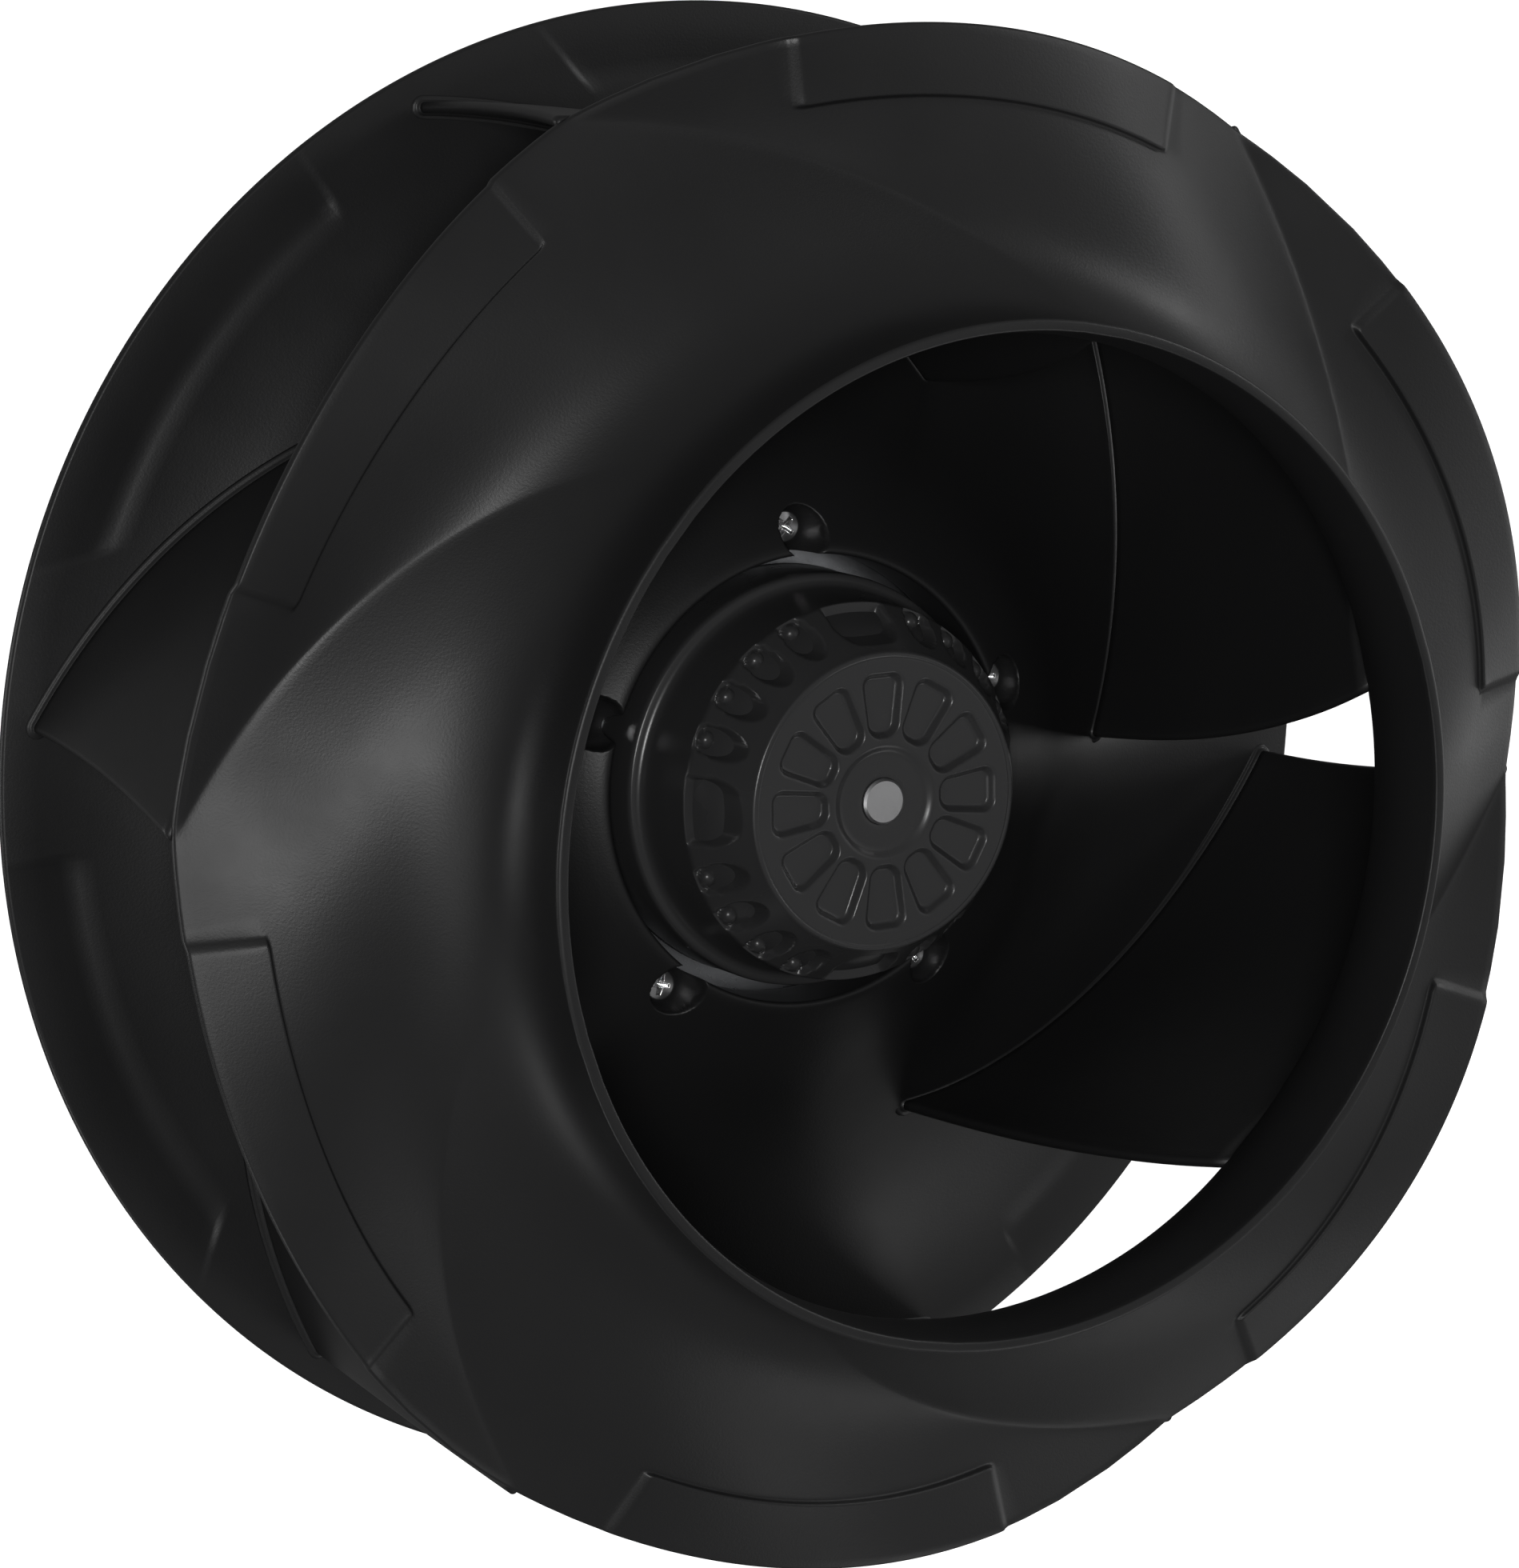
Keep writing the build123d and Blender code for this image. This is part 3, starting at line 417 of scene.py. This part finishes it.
def seat_grids():
    """Capped grid of the rounded bead on the disc that each blade foot stands in."""
    lead_r, trail_r = LEADING[0][0], TRAILING[0][0]
    share, side, beyond = blade_outline(60)
    r = lead_r + share * (trail_r - lead_r)
    grids = []
    for k in range(BLADES):
        rows = []
        for reach, height in BEAD:
            grow = reach / (WALL / 2)
            meridian = np.stack([r, disc_height(r) + height], axis=-1)
            rows.append(placed_on_spiral(meridian, side * grow, beyond * grow, k * PITCH + twist(share, 0)))
        grids.append(np.array(rows))
    return grids


# ---- back disc -----------------------------------------------------------------------------
def panel_share(r, ang):
    """How much of the flat rim panel shows at a radius and an angle: 0 outside, 1 inside."""
    from_start = past_start(ang, PANEL_START)
    slant = np.clip((r - PANEL_R) / (RIM_R - PANEL_R), 0, 1) * (PANEL_RIM_END - PANEL_END)
    arc = np.radians(1) * r
    ends = np.minimum(from_start, PANEL_END + slant - PANEL_START - from_start) * arc
    inside = rounded_inside(r - PANEL_R, ends, PANEL_CORNER)
    return smoothstep(inside / PANEL_WALL)


def cup_distance(r, ang):
    """Distance from the nearest screw cup's axis."""
    turn = np.radians(nearest_turn(ang, SCREW_ANG, 360 / SCREWS))
    return np.hypot(r * np.cos(turn) - SCREW_PITCH_R, r * np.sin(turn))


def cup_surface(distance, floor, radius):
    """Bowl of a screw cup: flat floor that turns up into a wall at radius."""
    return floor + CUP_RISE * (distance / radius) ** CUP_POWER


def disc_grid():
    """Closed grid of the back disc, columns crowded at the cups inside and at the panel ends outside."""
    curve = natural_spline(DISC_TOP, 900)
    crest = natural_spline(CREST, 60)
    line = np.concatenate([crest[:-1], curve])
    # lengths along the line: dense round the cups and at the panels' inner edge
    wanted = np.concatenate([
        np.linspace(0, 19, 50), np.linspace(20, 126, 44),
        np.linspace(128, 136.5, 20), np.linspace(139, 151, 6),
    ])
    length = np.linalg.norm(np.diff(line, axis=0), axis=1).sum()
    wanted = wanted[wanted < length - EDGE_R]
    top = resampled(line, wanted / length)
    lower = resampled(curve, np.append(np.linspace(1, 0.88, 12), np.linspace(0.84, 0.0, 30)))
    ahead = np.gradient(lower, axis=0)
    ahead /= np.linalg.norm(ahead, axis=1)[:, None]
    lower = lower + WALL * np.stack([-ahead[:, 1], ahead[:, 0]], axis=1)
    lower[0] = (RIM_R - EDGE_R, REAR_Z - WALL)
    turn = np.linspace(pi / 2, -pi / 2, 9)
    rim_r = RIM_R - EDGE_R + EDGE_R * np.cos(turn)
    rim_z = REAR_Z - WALL / 2 + WALL / 2 * np.sin(turn)
    rim = np.stack([rim_r, rim_z], axis=1)
    under = np.array([
        (HUB_OPENING_R + WALL, 66.5), (HUB_OPENING_R + WALL, 62), (HUB_OPENING_R + WALL, HUB_FLOOR_Z),
        (HUB_OPENING_R + 0.2, HUB_FLOOR_Z), (HUB_OPENING_R, HUB_FLOOR_Z + 0.4),
    ])
    wall_share = np.linspace(0.08, 0.96, HUB_WALL_ROWS)
    hub_wall = np.stack([np.full(HUB_WALL_ROWS, HUB_OPENING_R), np.zeros(HUB_WALL_ROWS)], axis=1)
    base = np.concatenate([top, rim, lower[1:], under, hub_wall])

    cup_angles = [SCREW_ANG + k * 360 / SCREWS for k in range(SCREWS)]
    inner = crowded(cup_angles, CUP_HALF_ANG, CUP_COLUMNS, COLUMNS)
    starts = [PANEL_START + k * PITCH for k in range(BLADES)]
    ends = [PANEL_END + k * PITCH for k in range(BLADES)]
    outer = crowded(starts + ends, PANEL_HALF_ANG, PANEL_COLUMNS, COLUMNS)
    # both rings of columns start at about the same angle
    shift = np.round((inner[0] - outer[0]) / (360 / COLUMNS)).astype(int)
    outer = np.concatenate([outer[shift:], outer[:shift] + 360])
    to_end = np.abs(nearest_turn(outer, PANEL_END, PITCH))
    to_start = np.abs(nearest_turn(outer, PANEL_START, PITCH))
    r = base[:, 0][:, None]
    z = base[:, 1][:, None]
    slant = np.clip((r - PANEL_R) / (RIM_R - PANEL_R), 0, 1) * (PANEL_RIM_END - PANEL_END)
    outer = outer[None, :] + slant * (to_start / (to_start + to_end))[None, :]
    angles = inner[None, :] + (outer - inner[None, :]) * smoothstep((r - SHIFT_START) / SHIFT_SPAN)

    panel = (REAR_Z - np.interp(r, curve[:, 0], curve[:, 1])) * panel_share(r, angles)
    height = z + np.where(r > PANEL_R, panel, 0)
    away = cup_distance(r, angles)
    cups = cup_surface(away, HUB_FLOOR_Z + WALL, CUP_R)
    front = slice(0, len(top))
    height[front] = soft_min(height[front], cups[front], CUP_BLEND)
    below = slice(len(top) + len(rim), -HUB_WALL_ROWS)
    tubes = cup_surface(away, HUB_FLOOR_Z, CUP_R + CUP_WALL)
    height[below] = np.minimum(height[below], tubes[below])
    low, high = under[-1, 1], height[0]
    height[-HUB_WALL_ROWS:] = low + (high - low) * wall_share[:, None]
    return ring_points(r, angles, height)


# ---- screws ------------------------------------------------------------------------------------
def screw_grids():
    """Pan head screws with a cross recess, one in each cup."""
    bend = np.linspace(0.2, pi / 2, 6)
    flat = np.linspace(0, HEAD_R - HEAD_ROUND, 26)
    rings = np.concatenate([flat, HEAD_R - HEAD_ROUND * (1 - np.sin(bend))])
    dome = HEAD_H - HEAD_DOME * (rings / HEAD_R) ** 2
    dome[-len(bend):] -= HEAD_SHOULDER * (1 - np.cos(bend))
    tail = np.array([
        (HEAD_R, 0.2), (HEAD_R - 0.2, 0.0), (SHANK_R, 0.0),
        (SHANK_R, -SHANK_L + 0.8), (SHANK_R - 0.8, -SHANK_L), (0.0, -SHANK_L),
    ])
    r = np.concatenate([rings, tail[:, 0]])[:, None]
    z = np.concatenate([dome, tail[:, 1]])[:, None]
    turn = np.radians(np.arange(0, 360, 3.0))[None, :]
    x, y = r * np.cos(turn), r * np.sin(turn)
    along, across = np.maximum(np.abs(x), np.abs(y)), np.minimum(np.abs(x), np.abs(y))
    outside = np.maximum(np.maximum(across - CROSS_W / 2, along - CROSS_L), 0)
    sunk = HEAD_H - CROSS_DEPTH + CROSS_WALL_SLOPE * outside + CROSS_FLOOR_SLOPE * np.hypot(x, y)
    z = z + 0 * x
    z[:len(rings)] = soft_min(z[:len(rings)], sunk[:len(rings)], CROSS_BLEND)
    grids = []
    for k in range(SCREWS):
        place = radians(SCREW_ANG + k * 360 / SCREWS)
        tilt = CROSS_TURN[k]
        at = np.array([SCREW_PITCH_R * cos(place), SCREW_PITCH_R * sin(place), HUB_FLOOR_Z + WALL])
        px = x * cos(tilt) - y * sin(tilt)
        py = x * sin(tilt) + y * cos(tilt)
        grids.append(np.stack([px, py, z], axis=-1) + at)
    return grids


# ---- rotor -------------------------------------------------------------------------------------
def rotor_surface(r, ang, base):
    """Height of the rotor's face and shoulder with its windows, ball pockets and wide pockets."""
    # windows
    turn = np.radians(nearest_turn(ang, WINDOW_ANG, WINDOW_PITCH))
    x, y = r * np.cos(turn) - WINDOW_R, np.abs(r * np.sin(turn))
    half_width = (WINDOW_IN_W + (WINDOW_OUT_W - WINDOW_IN_W) * (x / WINDOW_L + 0.5)) / 2
    inside = rounded_inside(WINDOW_L / 2 - np.abs(x), half_width - y, WINDOW_CORNER)
    walls = ROTOR_FACE_Z - WINDOW_DEPTH + WINDOW_SLOPE * np.maximum(WINDOW_BEVEL - inside, 0)
    height = soft_min(base, walls, WINDOW_BLEND)
    # pockets sunk straight down into the shoulder, open to the side, each round a ball
    turn = np.radians(nearest_turn(ang, POCKET_ANG + POCKET_PITCH / 2, POCKET_PITCH))
    for offset in POCKET_OFFSETS:
        own = turn - radians(offset)
        x, y = r * np.cos(own) - BALL_R, r * np.sin(own)
        inside = POCKET_W / 2 - np.hypot(np.minimum(x, 0), y)
        ball = POCKET_Z + BALL_RISE + np.sqrt(np.maximum(BALL ** 2 - x ** 2 - y ** 2, 0))
        ball = np.where(x ** 2 + y ** 2 < BALL ** 2, ball, 0)
        floor = np.maximum(POCKET_Z + POCKET_DRAFT * np.maximum(-inside, 0), ball)
        height = soft_min(height, floor, POCKET_BLEND)
    # wide pockets between the groups
    turn = np.radians(nearest_turn(ang, POCKET_ANG, POCKET_PITCH))
    x, y = r * np.cos(turn), np.abs(r * np.sin(turn))
    half_width = WIDE_POCKET_HALF_W + WIDE_POCKET_FLARE * (x - WIDE_POCKET_R)
    inside = rounded_inside(x - WIDE_POCKET_R, half_width - y, WIDE_POCKET_CORNER)
    floor = POCKET_Z + WIDE_POCKET_RISE + WIDE_POCKET_DRAFT * np.maximum(-inside, 0)
    return soft_min(height, floor, WIDE_POCKET_BLEND)


def rotor_grid():
    """Closed grid of the rotor: rows go over face, shoulder and skirt and back along the inside."""
    face = ROTOR_FACE_Z
    top = np.concatenate([
        [(6.05, face - 1.3), (6.25, face - 1.05)],
        np.stack([np.linspace(6.6, 12.6, 8), np.full(8, face - 1.0)], axis=1),
        [(12.9, face - 0.95), (13.3, face - 0.8), (13.9, face - 0.42), (14.5, face - 0.1), (14.9, face)],
        np.stack([np.linspace(15.3, 37.2, 58), np.full(58, face)], axis=1),
        [(37.45, face - 0.02), (37.6, face - 0.14), (37.75, face - 0.14), (37.9, face - 0.02), (38.2, face)],
        [(38.6, face - 0.08), (38.95, face - 0.3), (39.2, face - 0.65), (39.45, face - 1.1)],
        np.stack([np.linspace(39.75, 49.2, 74), np.linspace(face - 1.6, 98.0, 74)], axis=1),
        [(49.4, 97.6), (49.6, 97.1), (49.7, 96.5), (49.75, 96.0)],
    ])
    side = np.array([
        (50.3, 88), (50.9, 81.5), (51.05, 79.6), (51.4, 78.4), (52.1, 77.6), (53.0, 77.3), (53.9, 77.1),
        (54.4, 76.8), (54.65, 76.3), (54.8, 75.4), (54.8, 70), (54.8, 57.5), (54.8, 45), (54.4, 42.2),
        (54, 42), (51.6, 42), (51.2, 42.3), (49.4, 78), (47.8, 95.8), (37.2, 111),
        (15.5, 111), (15.5, 104), (8.4, 102.5), (6.05, 102.5),
    ])
    angles = np.arange(ROTOR_COLUMNS) * 360 / ROTOR_COLUMNS
    skirt = np.linspace(0.07, 1, 14)
    skirt_r = top[-1, 0] + (SKIRT_R - top[-1, 0]) * skirt
    r = np.concatenate([top[:, 0], skirt_r, side[:, 0]])[:, None]
    flat = 0 * angles[None, :]
    carved = rotor_surface(top[:, 0][:, None], angles[None, :], top[:, 1][:, None] + flat)
    edge = carved[-1]
    drop = edge + (SKIRT_TOP - edge) * skirt[:, None]
    return ring_points(r, angles, np.concatenate([carved, drop, side[:, 1][:, None] + flat]))


# ---- materials --------------------------------------------------------------------------------
def new_material(name, colour, roughness, metallic=0.0, **sockets):
    """Principled material with constants on its own sockets."""
    material = bpy.data.materials.new(name)
    material.use_nodes = True
    shader = material.node_tree.nodes["Principled BSDF"]
    shader.inputs["Base Color"].default_value = (*colour, 1)
    shader.inputs["Roughness"].default_value = roughness
    shader.inputs["Metallic"].default_value = metallic
    for socket, value in sockets.items():
        shader.inputs[socket.replace("_", " ")].default_value = value
    return material


def noise(tree, scale, detail=3.0, roughness=0.5, stretch=(1, 1, 1)):
    """Noise in object coordinates, scale in cycles per metre."""
    where = tree.nodes.new("ShaderNodeTexCoord")
    mapping = tree.nodes.new("ShaderNodeMapping")
    mapping.inputs["Scale"].default_value = stretch
    texture = tree.nodes.new("ShaderNodeTexNoise")
    texture.inputs["Scale"].default_value = scale
    texture.inputs["Detail"].default_value = detail
    texture.inputs["Roughness"].default_value = roughness
    tree.links.new(where.outputs["Object"], mapping.inputs["Vector"])
    tree.links.new(mapping.outputs["Vector"], texture.inputs["Vector"])
    return texture.outputs["Fac"]


NOISE_LOW, NOISE_HIGH = 0.3, 0.7


def spread_roughness(material, fac, low, high):
    """Roughness from low to high over the middle of a noise's range."""
    tree = material.node_tree
    span = tree.nodes.new("ShaderNodeMapRange")
    span.inputs["From Min"].default_value = NOISE_LOW
    span.inputs["From Max"].default_value = NOISE_HIGH
    span.inputs["To Min"].default_value = low
    span.inputs["To Max"].default_value = high
    tree.links.new(fac, span.inputs["Value"])
    tree.links.new(span.outputs["Result"], tree.nodes["Principled BSDF"].inputs["Roughness"])


def bump(material, fac, depth):
    """Bump of depth metres."""
    tree = material.node_tree
    node = tree.nodes.new("ShaderNodeBump")
    node.inputs["Strength"].default_value = 1.0
    node.inputs["Distance"].default_value = depth
    tree.links.new(fac, node.inputs["Height"])
    tree.links.new(node.outputs["Normal"], tree.nodes["Principled BSDF"].inputs["Normal"])


def moulded(name, colour, roughness, grain=1500, depth=0.00004):
    """Moulded plastic: fine spark-eroded grain and slow flow variation."""
    material = new_material(name, colour, roughness)
    tree = material.node_tree
    spread_roughness(material, noise(tree, 25, 4), roughness - 0.04, roughness + 0.05)
    bump(material, noise(tree, grain, 2, 0.6), depth)
    return material


def metal(name, colour, roughness, scale=60, depth=0.00003, stretch=(1, 1, 1)):
    """Metal with cloudy roughness and a finer grain, drawn out by stretch where it is laminated."""
    material = new_material(name, colour, roughness, 1.0)
    tree = material.node_tree
    spread_roughness(material, noise(tree, scale, 5, 0.6, stretch), roughness - 0.06, roughness + 0.1)
    bump(material, noise(tree, scale * 8, 3, 0.6, stretch), depth)
    return material


MATERIALS = {
    "impeller_plastic": moulded("impeller_plastic", (0.016, 0.016, 0.0165), 0.42),
    "rotor_metal": moulded("rotor_metal", (0.045, 0.045, 0.046), 0.27, 700, 0.00001),
    "zinc_steel": metal("zinc_steel", (0.45, 0.46, 0.48), 0.24),
    "screw_steel": metal("screw_steel", (0.75, 0.75, 0.76), 0.2),
    "shaft_steel": metal("shaft_steel", (0.82, 0.82, 0.83), 0.32),
    "spring_steel": metal("spring_steel", (0.4, 0.4, 0.41), 0.3),
    "bearing_steel": metal("bearing_steel", (0.55, 0.55, 0.56), 0.2),
    "core_steel": metal("core_steel", (0.25, 0.26, 0.28), 0.45, 400, 0.00005, (0.05, 0.05, 6)),
    "magnet": moulded("magnet", (0.03, 0.03, 0.032), 0.7),
    "copper": metal("copper", (0.72, 0.3, 0.14), 0.35, 500, 0.0001),
    "insulator": moulded("insulator", (0.6, 0.58, 0.5), 0.45),
    "cast_aluminium": metal("cast_aluminium", (0.42, 0.43, 0.44), 0.5, 120, 0.00012),
    "cover_plastic": moulded("cover_plastic", (0.02, 0.02, 0.022), 0.5),
    "gland_plastic": moulded("gland_plastic", (0.03, 0.03, 0.032), 0.42),
    "rubber": moulded("rubber", (0.02, 0.02, 0.02), 0.8),
    "board": moulded("board", (0.02, 0.12, 0.04), 0.4),
    "capacitor": moulded("capacitor", (0.05, 0.06, 0.12), 0.4),
    "module": moulded("module", (0.02, 0.02, 0.02), 0.45),
}

for subpart in frame["record"]["subparts"]:
    cad_mesh = nodes[subpart["node"]].data
    cad_mesh.materials.clear()
    cad_mesh.materials.append(MATERIALS[subpart["material_slot"]])

# ---- visible skins that stand for the moulded pieces ---------------------------------------------
shroud = mesh_from("shroud_skin", [shroud_grid()], "impeller", "impeller_plastic")
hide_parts("shroud_and_blades")
mesh_from("blade_skins", blade_grids(), "impeller", "impeller_plastic", closed_rows=False)
mesh_from("blade_seats", seat_grids(), "impeller", "impeller_plastic", closed_rows=False)
disc = mesh_from("disc_skin", [disc_grid()], "impeller", "impeller_plastic")
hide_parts("back_disc")
rotor = mesh_from("rotor_skin", [rotor_grid()], "impeller", "rotor_metal")
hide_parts("rotor_housing", "rotor_yoke")
screws = mesh_from("cross_head_screws", screw_grids(), "impeller", "screw_steel", closed_rows=False)
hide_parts("impeller_screws")

# ---- stage, lights and camera ------------------------------------------------------------------------
floor_mesh = bpy.data.meshes.new("floor")
floor_mesh.from_pydata([(-9, -9, 0), (9, -9, 0), (9, 9, 0), (-9, 9, 0)], [], [(0, 1, 2, 3)])
floor = bpy.data.objects.new("floor", floor_mesh)
bpy.context.scene.collection.objects.link(floor)
pale = new_material("pale_floor", (0.8, 0.8, 0.8), 0.8, Emission_Strength=0.93)
pale.node_tree.nodes["Principled BSDF"].inputs["Emission Color"].default_value = (1, 1, 1, 1)
floor_mesh.materials.append(pale)
floor.visible_diffuse = False
floor.visible_glossy = False

CAMERA_AT = Vector((-0.8654, 0.0, 1.4655))
CAMERA_TO = Vector((-0.0292, -0.0048, 0.1))
CAMERA_ROLL = 106.877
LENS = 143.27

camera = bpy.data.objects.new("camera", bpy.data.cameras.new("camera"))
camera.data.lens = LENS
camera.data.sensor_width = 36
camera.data.clip_end = 50
aim = (CAMERA_TO - CAMERA_AT).to_track_quat("-Z", "Y").to_matrix().to_4x4()
camera.matrix_world = Matrix.Translation(CAMERA_AT) @ aim @ Matrix.Rotation(radians(CAMERA_ROLL), 4, "Z")
bpy.context.scene.collection.objects.link(camera)
bpy.context.scene.camera = camera

TARGET = Vector((0, 0, 0.1))
LIGHT_DISTANCE = 3.0


def area_light(name, right, up, toward, size, power):
    """A square soft light in the camera's own directions, aimed at the impeller."""
    turn = camera.matrix_world.to_3x3()
    way = (turn @ Vector((right, up, toward))).normalized()
    lamp = bpy.data.lights.new(name, "AREA")
    lamp.size = size
    lamp.energy = power
    obj = bpy.data.objects.new(name, lamp)
    obj.location = TARGET + way * LIGHT_DISTANCE
    obj.rotation_euler = (-way).to_track_quat("-Z", "Y").to_euler()
    bpy.context.scene.collection.objects.link(obj)


area_light("camera_light", 0, -0.04, 1, 0.45, 26)
area_light("low_front_light", -0.45, -0.45, 1, 1.2, 5)
area_light("right_light", 1, 0.13, -0.1, 0.5, 3.5)
area_light("right_front_light", 1, 0, 0.3, 1.2, 2)
area_light("top_right_light", 0.9, 0.5, 0, 0.6, 9)
area_light("low_right_light", 0.8, -0.8, 0, 1.2, 6)
area_light("back_right_light", 1, 0, -0.7, 1.2, 7)
area_light("left_light", -1, 0, 0, 1.2, 14)
area_light("low_left_light", -0.8, -0.8, 0, 1.2, 8)

world = bpy.data.worlds.new("world")
world.use_nodes = True
world.node_tree.nodes["Background"].inputs["Color"].default_value = (0.15, 0.15, 0.15, 1)
bpy.context.scene.world = world
bpy.context.scene.view_settings.view_transform = "Standard"
